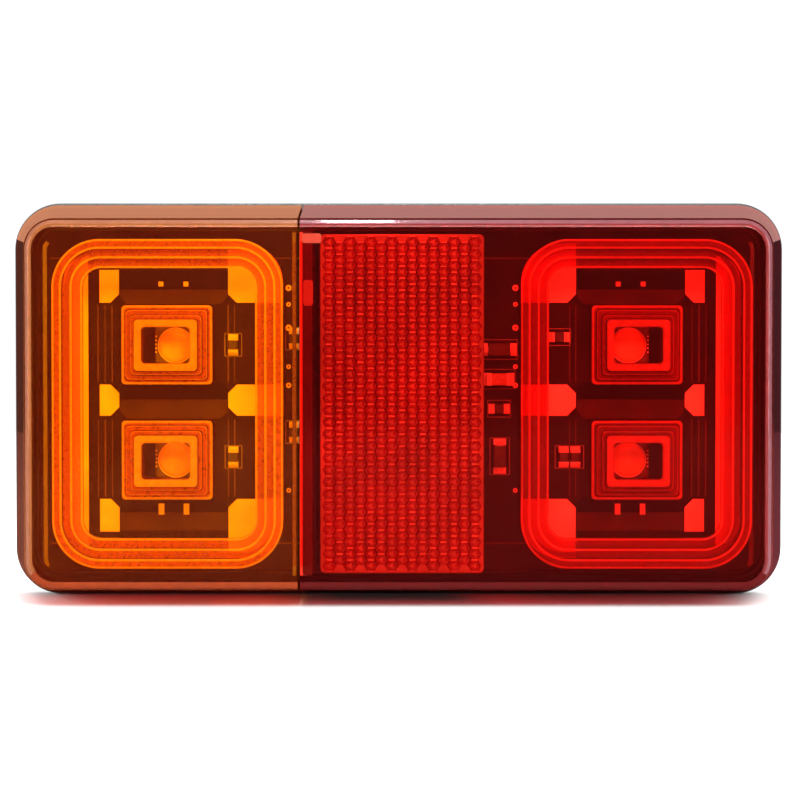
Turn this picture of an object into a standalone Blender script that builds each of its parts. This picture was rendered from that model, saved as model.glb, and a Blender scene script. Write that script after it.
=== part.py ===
"""Trailer tail light: an LED combination lamp with an amber turn section on the left, a red stop and
tail section on the right and a reflex reflector between them, sealed on a flat base that two studs
clamp to a panel. Metres, +Z up. The lens faces -Y and the back face lies in the plane Y = 0."""

import math

import bmesh
import bpy
from mathutils import Matrix

MM = 0.001
GAP = 0.3 * MM
OVERLAP = 0.4 * MM

# Base housing
BASE_SIZE = (100 * MM, 51 * MM)
BASE_RADIUS = 6 * MM
BASE_THICK = 3.5 * MM
BASE_CHAMFER = 0.5 * MM
TRAY_SIZE = (93.4 * MM, 44.8 * MM)
TRAY_RADIUS = 3.2 * MM
TRAY_WALL = 1.6 * MM
TRAY_HEIGHT = 4 * MM
SCREW_POST_RADIUS = 3 * MM
CORNER_POST_RADIUS = 2.5 * MM
STUD_BOSS_RADIUS = 7 * MM
PILOT_END = -2 * MM

# Lens shell
LENS_RIM_SIZE = (99.4 * MM, 50.4 * MM)
LENS_RIM_RADIUS = 5.7 * MM
LENS_EDGE_SIZE = (93.4 * MM, 46.4 * MM)
LENS_EDGE_RADIUS = 3.9 * MM
LENS_FRONT = -24 * MM
EDGE_ROUND = 1.3 * MM
EDGE_STEPS = 4
WALL = 1.7 * MM
SEAL_THICK = 0.8 * MM
SEAL_WIDTH = 2.1 * MM
SEAM_X = -12.4 * MM
DIVIDER_THICK = 1.6 * MM
CORNER_STEPS = 5

# Circuit board and what stands on it
BOARD_SIZE = (92.4 * MM, 43.8 * MM)
BOARD_RADIUS = 2.5 * MM
BOARD_BACK = -9 * MM
BOARD_THICK = 1.6 * MM
INNER_X = 0.45 * MM
RING_X = 29.3 * MM
BLOCK_X = 29.75 * MM
LED_X = 29.05 * MM
LED_Z = 7.3 * MM
LED_SIZE = 5 * MM
LED_HEIGHT = 1.6 * MM
LED_CUP_RADIUS = 2 * MM
LED_CUP_FLOOR = 1.3 * MM
LED_CUP_DEPTH = 0.7 * MM
BLOCK_SIZE = (11.5 * MM, 10 * MM)
BLOCK_ROOM = 3.5 * MM
BLOCK_ROOM_DEPTH = 2.8 * MM
BLOCK_SKIRT = 5.6 * MM
BLOCK_STEPS = 4
BLOCK_INSET = 0.7 * MM
BLOCK_RISE = 0.9 * MM
WINDOW_DEPTH = 0.9 * MM
RING_SIZE = (28.9 * MM, 41.2 * MM)
RING_RADIUS = 6 * MM
RING_SKIRT = 1.2 * MM
RING_STEPS = 3
RING_STEP_WIDTH = 1.2 * MM
RING_STEP_DROP = 1.3 * MM

# Reflex reflector between the two sections
REFLECTOR_SIZE = (20.5 * MM, 42.4 * MM)
REFLECTOR_THICK = 2.1 * MM
REFLECTOR_RADIUS = 0.6 * MM
COVER_DEPTH = 3 * MM
COVER_WALL = 1.2 * MM
COVER_INNER_RADIUS = 0.4 * MM

# Fasteners and cable entry
STUD_X = 30 * MM
STUD_RADIUS = 2.5 * MM
STUD_END = 16 * MM
HEX_ACROSS_FLATS = 8 * MM
HEAD_THICK = 3 * MM
PANEL_SPACE = 2.6 * MM
WASHER_RADIUS = 5 * MM
WASHER_THICK = 1 * MM
NUT_THICK = 4 * MM
SCREW_PLACES = ((-7 * MM, 17 * MM), (7 * MM, -17 * MM))
SCREW_SHANK = 1 * MM
SCREW_HEAD = 2.2 * MM
POST_PLACES = ((-41 * MM, -17 * MM), (-41 * MM, 17 * MM), (41 * MM, -17 * MM), (41 * MM, 17 * MM))
GLAND_Z = -9 * MM
GLAND_BORE = 3.5 * MM
GLAND_NECK = 5.2 * MM
GLAND_FLANGE = 6.5 * MM
GLAND_RECESS = 1.5 * MM
GLAND_FLANGE_THICK = 1.2 * MM
GLAND_NOZZLE_END = 9 * MM

BOARD_FRONT = BOARD_BACK - BOARD_THICK
STANDING = BOARD_FRONT - GAP
SEAL_FRONT = -BASE_THICK - GAP - SEAL_THICK
RIM_Y = SEAL_FRONT - GAP
INNER_FRONT = LENS_FRONT + WALL
BEHIND_LENS = INNER_FRONT + GAP

PARTS = None
CUTTERS = None


def start_scene():
    """Empties the scene and makes one collection for the lamp and one for the shapes that cut it."""
    global PARTS, CUTTERS
    for obj in list(bpy.data.objects):
        bpy.data.objects.remove(obj, do_unlink=True)
    PARTS = bpy.data.collections.new("trailer_tail_light")
    CUTTERS = bpy.data.collections.new("cutters")
    CUTTERS.hide_render = True
    for collection in (PARTS, CUTTERS):
        bpy.context.scene.collection.children.link(collection)


def material(name, colour, roughness, metallic=0.0, alpha=1.0):
    made = bpy.data.materials.get(name) or bpy.data.materials.new(name)
    made.use_nodes = True
    shader = made.node_tree.nodes["Principled BSDF"]
    shader.inputs["Base Color"].default_value = (*colour, 1)
    shader.inputs["Roughness"].default_value = roughness
    shader.inputs["Metallic"].default_value = metallic
    shader.inputs["Alpha"].default_value = alpha
    made.diffuse_color = (*colour, alpha)
    return made


def black_plastic():
    return material("black_plastic", (0.02, 0.02, 0.022), 0.5)


def amber_plastic():
    return material("amber_plastic", (1.0, 0.2, 0.0), 0.1, alpha=0.6)


def red_plastic():
    return material("red_plastic", (0.6, 0.0, 0.0), 0.1, alpha=0.6)


def plated_steel():
    return material("plated_steel", (0.6, 0.6, 0.58), 0.35, metallic=1.0)


def add_part(name, mesh, finish, smooth=None):
    """A visible piece of the lamp. smooth is the angle, in degrees, past which an edge stays sharp."""
    obj = bpy.data.objects.new(name, mesh)
    PARTS.objects.link(obj)
    mesh.materials.clear()
    mesh.materials.append(finish)
    if smooth is not None:
        mesh.shade_smooth()
        mesh.set_sharp_from_angle(angle=math.radians(smooth))
    return obj


def add_cutter(name, mesh):
    obj = bpy.data.objects.new(name, mesh)
    CUTTERS.objects.link(obj)
    obj.hide_render = True
    obj.display_type = "WIRE"
    return obj


def combine(obj, operation, helpers):
    """Adds one exact Boolean for each helper."""
    for helper in helpers:
        modifier = obj.modifiers.new(operation.lower() + "_" + helper.name, "BOOLEAN")
        modifier.operation = operation
        modifier.solver = "EXACT"
        modifier.object = helper


def mesh_from(bm, name):
    bmesh.ops.recalc_face_normals(bm, faces=bm.faces)
    mesh = bpy.data.meshes.new(name)
    bm.to_mesh(mesh)
    bm.free()
    return mesh


def rounded_rectangle(size, radius, steps=CORNER_STEPS, centre=(0, 0)):
    """(x, z) points of a rounded rectangle, anticlockwise."""
    points = []
    for quarter, (side_x, side_z) in enumerate(((1, 1), (-1, 1), (-1, -1), (1, -1))):
        middle_x = centre[0] + side_x * (size[0] / 2 - radius)
        middle_z = centre[1] + side_z * (size[1] / 2 - radius)
        for step in range(steps + 1):
            angle = math.radians(90 * (quarter + step / steps))
            points.append((middle_x + radius * math.cos(angle), middle_z + radius * math.sin(angle)))
    return points


def polygon(radius, sides, centre=(0, 0)):
    """(x, z) points of a regular polygon, anticlockwise."""
    angles = [2 * math.pi * side / sides for side in range(sides)]
    return [(centre[0] + radius * math.cos(a), centre[1] + radius * math.sin(a)) for a in angles]


def hexagon(across_flats, centre):
    return polygon(across_flats / math.sqrt(3), 6, centre)


def loft(name, sections, steps=CORNER_STEPS, ring=False):
    """A skin through rounded rectangles (size, radius, y). A ring joins its last section to its
    first, and any other loft is capped at both ends."""
    bm = bmesh.new()
    loops = []
    for size, radius, y in sections:
        outline = rounded_rectangle(size, radius, steps)
        loops.append([bm.verts.new((x, y, z)) for x, z in outline])
    pairs = list(zip(loops, loops[1:]))
    if ring:
        pairs.append((loops[-1], loops[0]))
    else:
        bm.faces.new(loops[0])
        bm.faces.new(list(reversed(loops[-1])))
    for first, second in pairs:
        for i in range(len(first)):
            j = (i + 1) % len(first)
            bm.faces.new((first[i], first[j], second[j], second[i]))
    return mesh_from(bm, name)


def shrunk(size, inset):
    return (size[0] - 2 * inset, size[1] - 2 * inset)


def box(name, low, high):
    """A box between two corners, from a unit cube."""
    spans = [b - a for a, b in zip(low, high)]
    middle = [(a + b) / 2 for a, b in zip(low, high)]
    bm = bmesh.new()
    bmesh.ops.create_cube(bm, size=1, matrix=Matrix.Translation(middle) @ Matrix.Diagonal((*spans, 1)))
    return mesh_from(bm, name)


def rod(name, centre, radius, y_low, y_high, sides=16, end_radius=None):
    """A cylinder or a cone along Y. radius is at y_low, and end_radius at y_high."""
    bm = bmesh.new()
    place = Matrix.Translation((centre[0], (y_low + y_high) / 2, centre[1]))
    bmesh.ops.create_cone(
        bm,
        cap_ends=True,
        segments=sides,
        radius1=radius,
        radius2=radius if end_radius is None else end_radius,
        depth=y_high - y_low,
        matrix=place @ Matrix.Rotation(math.radians(-90), 4, "X"),
    )
    return mesh_from(bm, name)


def flat_outline(name, outlines, y_low, y_high):
    """A plate in the XZ plane from a filled 2D curve. The first outline is the edge and the rest
    are holes."""
    curve = bpy.data.curves.new(name, "CURVE")
    curve.dimensions = "2D"
    curve.fill_mode = "BOTH"
    curve.extrude = (y_high - y_low) / 2
    for outline in outlines:
        spline = curve.splines.new("POLY")
        spline.points.add(len(outline) - 1)
        for point, (x, z) in zip(spline.points, outline):
            point.co = (x, z, 0, 1)
        spline.use_cyclic_u = True
    guide = bpy.data.objects.new(name + "_guide", curve)
    CUTTERS.objects.link(guide)
    guide.location.y = (y_low + y_high) / 2
    guide.rotation_euler.x = math.radians(90)
    bpy.context.view_layer.update()
    graph = bpy.context.evaluated_depsgraph_get()
    mesh = bpy.data.meshes.new_from_object(guide.evaluated_get(graph))
    mesh.transform(guide.matrix_world)
    bpy.data.objects.remove(guide, do_unlink=True)
    bm = bmesh.new()
    bm.from_mesh(mesh)
    bpy.data.meshes.remove(mesh)
    bmesh.ops.remove_doubles(bm, verts=bm.verts, dist=0.001 * MM)
    return mesh_from(bm, name)


def turned(name, profile, centre, steps=24):
    """A turned mesh object about an axis along Y. The profile lists (radius, y) down its outer
    side, from the end with the largest y."""
    mesh = bpy.data.meshes.new(name)
    points = [(radius, 0, y) for radius, y in profile]
    edges = [(i, i + 1) for i in range(len(points) - 1)]
    if profile[0][0] > 0:
        edges.append((len(points) - 1, 0))
    mesh.from_pydata(points, edges, [])
    obj = add_cutter(name, mesh)
    obj.location = (centre[0], 0, centre[1])
    obj.rotation_euler.x = math.radians(-90)
    screw = obj.modifiers.new("turn", "SCREW")
    screw.axis = "Z"
    screw.steps = steps
    screw.render_steps = steps
    screw.use_merge_vertices = True
    screw.merge_threshold = 0.00001
    return obj


def show(obj, finish):
    """Moves a turned helper to the lamp's own collection as a piece."""
    CUTTERS.objects.unlink(obj)
    PARTS.objects.link(obj)
    obj.hide_render = False
    obj.display_type = "TEXTURED"
    obj.data.materials.append(finish)
    obj.modifiers["turn"].use_smooth_shade = True


def make_base_housing():
    """The black tray: a plate with a locating wall, stud pockets, board posts and the cable hole."""
    back = loft(
        "base_housing",
        [
            (shrunk(BASE_SIZE, BASE_CHAMFER), BASE_RADIUS - BASE_CHAMFER, 0),
            (BASE_SIZE, BASE_RADIUS, -BASE_CHAMFER),
            (BASE_SIZE, BASE_RADIUS, -BASE_THICK),
        ],
    )
    base = add_part("base_housing", back, black_plastic())
    floor = -BASE_THICK + OVERLAP
    top = -BASE_THICK - TRAY_HEIGHT
    inside = shrunk(TRAY_SIZE, TRAY_WALL)
    inside_radius = TRAY_RADIUS - TRAY_WALL
    wall = [
        (TRAY_SIZE, TRAY_RADIUS, floor),
        (TRAY_SIZE, TRAY_RADIUS, top),
        (inside, inside_radius, top),
        (inside, inside_radius, floor),
    ]
    added = [add_cutter("tray_wall", loft("tray_wall", wall, ring=True))]
    under_board = BOARD_BACK + GAP
    for number, place in enumerate(SCREW_PLACES, 1):
        post = rod("screw_post", place, SCREW_POST_RADIUS, under_board, floor)
        added.append(add_cutter(f"screw_post_{number}", post))
    for number, place in enumerate(POST_PLACES, 1):
        post = rod("corner_post", place, CORNER_POST_RADIUS, under_board, floor)
        added.append(add_cutter(f"corner_post_{number}", post))
    for side, label in ((-1, "left"), (1, "right")):
        boss = rod("stud_boss", (side * STUD_X, 0), STUD_BOSS_RADIUS, top, floor, sides=24)
        added.append(add_cutter(f"stud_boss_{label}", boss))
    combine(base, "UNION", added)

    removed = []
    for number, place in enumerate(SCREW_PLACES, 1):
        pilot = rod("pilot", place, SCREW_SHANK + GAP, under_board - OVERLAP, PILOT_END, sides=12)
        removed.append(add_cutter(f"pilot_{number}", pilot))
    for side, label in ((-1, "left"), (1, "right")):
        centre = (side * STUD_X, 0)
        pocket = flat_outline(
            "pocket", [hexagon(HEX_ACROSS_FLATS + 2 * GAP, centre)], top - OVERLAP, -BASE_THICK
        )
        removed.append(add_cutter(f"stud_pocket_{label}", pocket))
        hole = rod("hole", centre, STUD_RADIUS + GAP, -BASE_THICK - OVERLAP, OVERLAP)
        removed.append(add_cutter(f"stud_hole_{label}", hole))
    cable = rod("cable_hole", (0, GLAND_Z), GLAND_NECK + GAP, -BASE_THICK - OVERLAP, OVERLAP, sides=24)
    removed.append(add_cutter("cable_hole", cable))
    recess = rod("recess", (0, GLAND_Z), GLAND_FLANGE + GAP, -GLAND_RECESS, OVERLAP, sides=24)
    removed.append(add_cutter("gland_recess", recess))
    combine(base, "DIFFERENCE", removed)


def lens_size_at(y):
    """Outer size and corner radius of the drafted lens wall at a depth."""
    share = (RIM_Y - y) / (RIM_Y - (LENS_FRONT + EDGE_ROUND))
    size = [rim + (edge - rim) * share for rim, edge in zip(LENS_RIM_SIZE, LENS_EDGE_SIZE)]
    return tuple(size), LENS_RIM_RADIUS + (LENS_EDGE_RADIUS - LENS_RIM_RADIUS) * share


def lens_shell(name):
    """The whole lens as one cup: outer skin from the front to the rim, then the inner skin back."""
    sections = []
    for step in range(EDGE_STEPS + 1):
        angle = math.radians(90 * step / EDGE_STEPS)
        inset = EDGE_ROUND * (1 - math.sin(angle))
        y = LENS_FRONT + EDGE_ROUND * (1 - math.cos(angle))
        sections.append((shrunk(LENS_EDGE_SIZE, inset), LENS_EDGE_RADIUS - inset, y))
    sections.append((LENS_RIM_SIZE, LENS_RIM_RADIUS, RIM_Y))
    for y in (RIM_Y, INNER_FRONT):
        size, radius = lens_size_at(y)
        sections.append((shrunk(size, WALL), radius - WALL, y))
    return loft(name, sections)


def make_lenses():
    """The amber and red lenses, cut from one shell at the seam. The red one carries the divider."""
    far = 60 * MM
    amber_side = box("amber_side", (-far, -far, -far), (SEAM_X - GAP / 2, far, far))
    red_side = box("red_side", (SEAM_X + GAP / 2, -far, -far), (far, far, far))
    amber = add_part("lens_amber", lens_shell("lens_amber"), amber_plastic(), smooth=25)
    combine(amber, "INTERSECT", [add_cutter("amber_side", amber_side)])
    red = add_part("lens_red", lens_shell("lens_red"), red_plastic(), smooth=25)
    combine(red, "INTERSECT", [add_cutter("red_side", red_side)])
    # The wall leans in towards the front, so its top and bottom follow the lens's draft.
    wall_end = STANDING - 2 * GAP
    low_size, _ = lens_size_at(wall_end)
    high_size, _ = lens_size_at(INNER_FRONT)
    heights = [size[1] - 2 * WALL + 2 * OVERLAP for size in (low_size, high_size)]
    divider = loft(
        "divider",
        [
            ((DIVIDER_THICK, heights[0]), 0.1 * MM, wall_end),
            ((DIVIDER_THICK, heights[1]), 0.1 * MM, INNER_FRONT - OVERLAP),
        ],
        steps=1,
    )
    divider.transform(Matrix.Translation((SEAM_X + GAP / 2 + DIVIDER_THICK / 2, 0, 0)))
    combine(red, "UNION", [add_cutter("divider", divider)])


def make_seal():
    """The flat gasket between the base and the rim of the lens."""
    outer = shrunk(LENS_RIM_SIZE, GAP)
    inner = shrunk(outer, SEAL_WIDTH)
    edge = rounded_rectangle(outer, LENS_RIM_RADIUS - GAP)
    hole = rounded_rectangle(inner, LENS_RIM_RADIUS - GAP - SEAL_WIDTH)
    mesh = flat_outline("lens_seal", [edge, hole], SEAL_FRONT, SEAL_FRONT + SEAL_THICK)
    add_part("lens_seal", mesh, material("seal_rubber", (0.03, 0.03, 0.03), 0.8))


def make_reflector():
    """The prism plate and the tray that closes the air space behind it."""
    centre = (INNER_X, 0)
    outline = rounded_rectangle(REFLECTOR_SIZE, REFLECTOR_RADIUS, 2, centre)
    back = BEHIND_LENS + REFLECTOR_THICK
    plate = flat_outline("reflex_reflector", [outline], BEHIND_LENS, back)
    add_part("reflex_reflector", plate, red_plastic())
    front = back + GAP
    cover_back = front + COVER_DEPTH
    inside = shrunk(REFLECTOR_SIZE, COVER_WALL)
    cup = loft(
        "reflector_back_cover",
        [
            (REFLECTOR_SIZE, REFLECTOR_RADIUS, cover_back),
            (REFLECTOR_SIZE, REFLECTOR_RADIUS, front),
            (inside, COVER_INNER_RADIUS, front),
            (inside, COVER_INNER_RADIUS, cover_back - COVER_WALL),
        ],
        steps=2,
    )
    cup.transform(Matrix.Translation((INNER_X, 0, 0)))
    add_part("reflector_back_cover", cup, black_plastic())


def make_optic_ring(name, side, finish):
    """A stepped collar round one section's LEDs, on a thin skirt that stands on the board."""
    sections = [(RING_SIZE, RING_RADIUS, STANDING), (RING_SIZE, RING_RADIUS, BEHIND_LENS)]
    for step in range(1, RING_STEPS + 1):
        inset = step * RING_STEP_WIDTH
        for y in (BEHIND_LENS + (step - 1) * RING_STEP_DROP, BEHIND_LENS + step * RING_STEP_DROP):
            sections.append((shrunk(RING_SIZE, inset), RING_RADIUS - inset, y))
    under_steps = sections[-1][2]
    inner_skirt = (shrunk(RING_SIZE, RING_SKIRT), RING_RADIUS - RING_SKIRT)
    sections.append((*inner_skirt, under_steps))
    sections.append((*inner_skirt, STANDING))
    mesh = loft(name, sections, ring=True)
    mesh.transform(Matrix.Translation((INNER_X + side * RING_X, 0, 0)))
    add_part(name, mesh, finish)


def make_board():
    """The printed circuit board, with screw holes and a row of four lead holes for the cable."""
    outlines = [rounded_rectangle(BOARD_SIZE, BOARD_RADIUS)]
    outlines += [polygon(SCREW_SHANK + GAP, 12, place) for place in SCREW_PLACES]
    outlines += [polygon(0.6 * MM, 8, (lead * 3 * MM, -2 * MM)) for lead in (-1.5, -0.5, 0.5, 1.5)]
    mesh = flat_outline("circuit_board", outlines, BOARD_FRONT, BOARD_BACK)
    add_part("circuit_board", mesh, material("board_mask", (0.02, 0.05, 0.02), 0.4))


def led(name, x, z):
    """A square LED package with a round cup in its front."""
    half = LED_SIZE / 2
    front = STANDING - LED_HEIGHT
    bottom = front + LED_CUP_DEPTH
    body = add_part(
        name,
        box(name, (x - half, front, z - half), (x + half, STANDING, z + half)),
        material("led_package", (0.8, 0.78, 0.7), 0.4),
    )
    cup = rod(name + "_cup", (x, z), LED_CUP_RADIUS, front - OVERLAP, bottom, 20, LED_CUP_FLOOR)
    combine(body, "DIFFERENCE", [add_cutter(name + "_cup", cup)])


def optic_block(name, x, z, finish):
    """A stepped square optic over one LED: a hollow skirt on the board and a sunken front window."""
    back = STANDING
    front = back - BLOCK_SKIRT
    width, height = BLOCK_SIZE
    spans = Matrix.Diagonal((width, back - front, height, 1))
    bm = bmesh.new()
    bmesh.ops.create_cube(bm, size=1, matrix=Matrix.Translation((x, (back + front) / 2, z)) @ spans)
    face = min(bm.faces, key=lambda f: f.calc_center_median().y)
    rises = [-BLOCK_RISE] * (BLOCK_STEPS - 1) + [WINDOW_DEPTH]
    for rise in rises:
        bmesh.ops.inset_region(bm, faces=[face], thickness=BLOCK_INSET)
        bmesh.ops.inset_region(bm, faces=[face], thickness=0)
        bmesh.ops.translate(bm, verts=face.verts, vec=(0, rise, 0))
    block = add_part(name, mesh_from(bm, name), finish)
    hollow = box(
        name + "_hollow",
        (x - BLOCK_ROOM, back - BLOCK_ROOM_DEPTH, z - BLOCK_ROOM),
        (x + BLOCK_ROOM, back + OVERLAP, z + BLOCK_ROOM),
    )
    combine(block, "DIFFERENCE", [add_cutter(name + "_hollow", hollow)])


def surface_mount(name, stations, height, place, upright, finish):
    """A part soldered flat on the board, lofted through (size, distance along it) stations. It lies
    along X, or along Z if it is upright."""
    mesh = loft(name, [(size, 0.05 * MM, y) for size, y in stations], steps=1)
    quarter = math.radians(90)
    turn = Matrix.Rotation(quarter, 4, "X")
    if not upright:
        turn = Matrix.Rotation(quarter, 4, "Z") @ Matrix.Rotation(quarter, 4, "Y")
    mesh.transform(Matrix.Translation((place[0], STANDING - height / 2, place[1])) @ turn)
    add_part(name, mesh, finish)


def chip(name, size, place, upright, finish):
    """A chip resistor or capacitor: a body between two slightly larger metal ends."""
    length, width, height = size
    end = (width, height)
    core = (width - 0.1 * MM, height - 0.1 * MM)
    half = length / 2
    inner = 0.6 * half
    stations = ((end, -half), (end, -inner), (core, -inner), (core, inner), (end, inner), (end, half))
    surface_mount(name, stations, height, place, upright, finish)


def diode(name, place, upright, finish):
    """A moulded diode: a tapered body with a flat lead at each end."""
    body_end = 1.35 * MM
    lead_start = 1.4 * MM
    lead_end = 1.9 * MM
    lead = (0.9 * MM, 0.2 * MM)
    shoulder = (1.5 * MM, 1 * MM)
    middle = (1.6 * MM, 1.1 * MM)
    stations = [(lead, -lead_end), (lead, -lead_start), (shoulder, -body_end), (middle, 0)]
    stations += [(size, -y) for size, y in reversed(stations[:-1])]
    surface_mount(name, stations, middle[1], place, upright, finish)


def driver_chip(name, place, finish):
    """An eight-lead driver chip: a chamfered body with four stub leads along each long side."""
    x, z = place
    body = loft(
        name,
        [
            ((4.7 * MM, 3.6 * MM), 0.1 * MM, STANDING - 0.1 * MM),
            ((4.9 * MM, 3.9 * MM), 0.1 * MM, STANDING - 0.7 * MM),
            ((4.7 * MM, 3.6 * MM), 0.1 * MM, STANDING - 1.5 * MM),
        ],
        steps=1,
    )
    body.transform(Matrix.Translation((x, 0, z)))
    chip_body = add_part(name, body, finish)
    leads = []
    for number in range(4):
        middle = x + (number - 1.5) * 1.27 * MM
        low = (middle - 0.2 * MM, STANDING - 0.5 * MM, z - 3 * MM)
        high = (middle + 0.2 * MM, STANDING - 0.25 * MM, z + 3 * MM)
        label = f"{name}_lead_{number + 1}"
        leads.append(add_cutter(label, box(label, low, high)))
    combine(chip_body, "UNION", leads)


def make_electronics():
    """The parts on the board, each standing the usual gap off it."""
    resist = material("resistor_body", (0.03, 0.03, 0.035), 0.5)
    ceramic = material("capacitor_body", (0.35, 0.22, 0.12), 0.6)
    moulded = material("moulded_body", (0.02, 0.02, 0.02), 0.6)
    resistor_size = (2 * MM, 1.25 * MM, 0.55 * MM)
    resistors = (
        ((21.2 * MM, -7.2 * MM), True),
        ((22.7 * MM, -7.2 * MM), True),
        ((20.6 * MM, 8.2 * MM), False),
        ((12.9 * MM, -1 * MM), False),
        ((-13.4 * MM, 8 * MM), True),
        ((-13.4 * MM, -4 * MM), True),
        ((-21.2 * MM, -7.2 * MM), True),
        ((-21.2 * MM, 7.2 * MM), True),
    )
    for number, (place, upright) in enumerate(resistors, 1):
        chip(f"resistor_{number}", resistor_size, place, upright, resist)
    capacitor_size = (3.2 * MM, 1.6 * MM, 1.4 * MM)
    chip("capacitor_1", capacitor_size, (12.9 * MM, 2.8 * MM), False, ceramic)
    chip("capacitor_2", capacitor_size, (-4 * MM, -8 * MM), True, ceramic)
    diode("diode_tail", (12.9 * MM, 6.6 * MM), False, moulded)
    diode("diode_stop", (13 * MM, -7.1 * MM), True, moulded)
    diode("diode_turn", (-6 * MM, 8 * MM), False, moulded)
    driver_chip("driver_chip_red", (4.5 * MM, 9 * MM), moulded)
    driver_chip("driver_chip_amber", (4.5 * MM, -7.5 * MM), moulded)


def make_board_screws():
    """The two screws that hold the board to the base, under the reflector."""
    for number, place in enumerate(SCREW_PLACES, 1):
        head_back = STANDING
        profile = [
            (0, PILOT_END - 2 * GAP),
            (SCREW_SHANK * 0.6, PILOT_END - 2 * GAP),
            (SCREW_SHANK, PILOT_END - 1 * MM),
            (SCREW_SHANK, head_back),
            (SCREW_HEAD, head_back),
            (SCREW_HEAD, head_back - 0.9 * MM),
            (SCREW_HEAD * 0.7, head_back - 1.5 * MM),
            (0, head_back - 1.5 * MM),
        ]
        show(turned(f"board_screw_{number}", profile, place, steps=16), plated_steel())


def make_cable_gland():
    """The rubber gland in the back, open for the cable: a groove holds it in the base."""
    outer_flange = -GLAND_RECESS + GAP
    inner_flange = -BASE_THICK - GAP
    flush = -0.2 * MM
    profile = [
        (GLAND_BORE + 1 * MM, GLAND_NOZZLE_END),
        (GLAND_NECK, 0.2 * MM),
        (GLAND_FLANGE, flush),
        (GLAND_FLANGE, outer_flange),
        (GLAND_NECK, outer_flange),
        (GLAND_NECK, inner_flange),
        (GLAND_FLANGE, inner_flange),
        (GLAND_FLANGE, inner_flange - GLAND_FLANGE_THICK),
        (GLAND_BORE, inner_flange - GLAND_FLANGE_THICK),
        (GLAND_BORE, GLAND_NOZZLE_END),
    ]
    rubber = material("gland_rubber", (0.02, 0.02, 0.02), 0.7)
    show(turned("cable_gland", profile, (0, GLAND_Z)), rubber)


def make_studs():
    """Two studs held in the base by their hexagonal heads, each with a washer and a nut for the
    panel that the lamp is clamped to."""
    for side, label in ((-1, "left"), (1, "right")):
        centre = (side * STUD_X, 0)
        head_low = -BASE_THICK - GAP - HEAD_THICK
        head_high = -BASE_THICK - GAP
        head = flat_outline("head", [hexagon(HEX_ACROSS_FLATS, centre)], head_low, head_high)
        stud = add_part(f"stud_{label}", head, plated_steel())
        profile = [
            (0, STUD_END),
            (STUD_RADIUS - 0.7 * MM, STUD_END),
            (STUD_RADIUS, STUD_END - 0.8 * MM),
            (STUD_RADIUS, head_high - OVERLAP),
            (0, head_high - OVERLAP),
        ]
        combine(stud, "UNION", [turned(f"shank_{label}", profile, centre, steps=20)])
        hole = polygon(STUD_RADIUS + GAP, 20, centre)
        low = PANEL_SPACE
        high = low + WASHER_THICK
        disc = flat_outline("washer", [polygon(WASHER_RADIUS, 24, centre), hole], low, high)
        add_part(f"washer_{label}", disc, plated_steel(), smooth=30)
        low = high + GAP
        nut = flat_outline("nut", [hexagon(HEX_ACROSS_FLATS, centre), hole], low, low + NUT_THICK)
        add_part(f"nut_{label}", nut, plated_steel(), smooth=30)


def main():
    start_scene()
    make_base_housing()
    make_lenses()
    make_seal()
    make_reflector()
    make_board()
    for side, label, finish in ((-1, "amber", amber_plastic()), (1, "red", red_plastic())):
        make_optic_ring(f"optic_ring_{label}", side, finish)
        for level, where in ((1, "upper"), (-1, "lower")):
            z = level * LED_Z
            led(f"led_{label}_{where}", INNER_X + side * LED_X, z)
            optic_block(f"optic_block_{label}_{where}", INNER_X + side * BLOCK_X, z, finish)
    make_electronics()
    make_board_screws()
    make_cable_gland()
    make_studs()


main()
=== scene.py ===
"""Looks of the trailer tail light: fine lens shells, stepped optics, a prism reflector, the
detailed circuit board behind them and the moulded, threaded and rubber pieces at the back.
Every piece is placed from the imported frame. Metres, +Z up, the lens faces -Y."""

import math
import random

import bmesh
import bpy
from mathutils import Matrix, Vector


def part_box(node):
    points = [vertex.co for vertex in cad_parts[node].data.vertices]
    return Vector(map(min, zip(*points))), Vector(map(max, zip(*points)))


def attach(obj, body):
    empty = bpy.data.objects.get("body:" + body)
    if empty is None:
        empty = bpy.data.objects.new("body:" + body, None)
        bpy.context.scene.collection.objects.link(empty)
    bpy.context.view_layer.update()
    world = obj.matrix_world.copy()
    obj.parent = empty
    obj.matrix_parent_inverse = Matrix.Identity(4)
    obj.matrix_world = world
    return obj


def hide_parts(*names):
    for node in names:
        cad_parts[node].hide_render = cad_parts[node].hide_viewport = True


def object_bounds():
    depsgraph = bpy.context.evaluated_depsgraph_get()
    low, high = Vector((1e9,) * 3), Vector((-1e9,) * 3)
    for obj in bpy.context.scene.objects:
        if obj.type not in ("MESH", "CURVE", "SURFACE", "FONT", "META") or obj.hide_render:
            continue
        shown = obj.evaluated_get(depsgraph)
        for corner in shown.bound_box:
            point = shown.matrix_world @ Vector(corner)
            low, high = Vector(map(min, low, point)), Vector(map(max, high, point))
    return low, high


MM = 0.001

# Lens
LENS_DRAFT = (3 * MM, 2 * MM)
EDGE_ROUND = 1.3 * MM
RIM_RADIUS = 5.7 * MM
EDGE_RADIUS = 3.9 * MM
WALL = 1.7 * MM
INNER_FILLET = 2.2 * MM
BACK_CHAMFER = 0.3 * MM
EDGE_STEPS = 10
LIP_END = 3
RIM_END = 6
FILLET_STEPS = 6
BRIGHT_FILLET = 4
CORNER_STEPS = 14
LENS_RIPPLE = 0.006
LENS_PARTS = ("outer", "inner", "edge", "rim", "lip", "under", "side", "top")
OUTER, INNER, EDGE, RIM, LIP, UNDER, SIDE, TOP = range(len(LENS_PARTS))

# Seam
DIVIDER_WIDTH = 1.5 * MM
BEAD_WIDTH = 0.5 * MM

# Reflector prisms
PRISM_PITCH = 1.5 * MM
PRISM_RIM = 0.13 * MM
PRISM_DEPTH = 0.5 * MM

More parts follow.
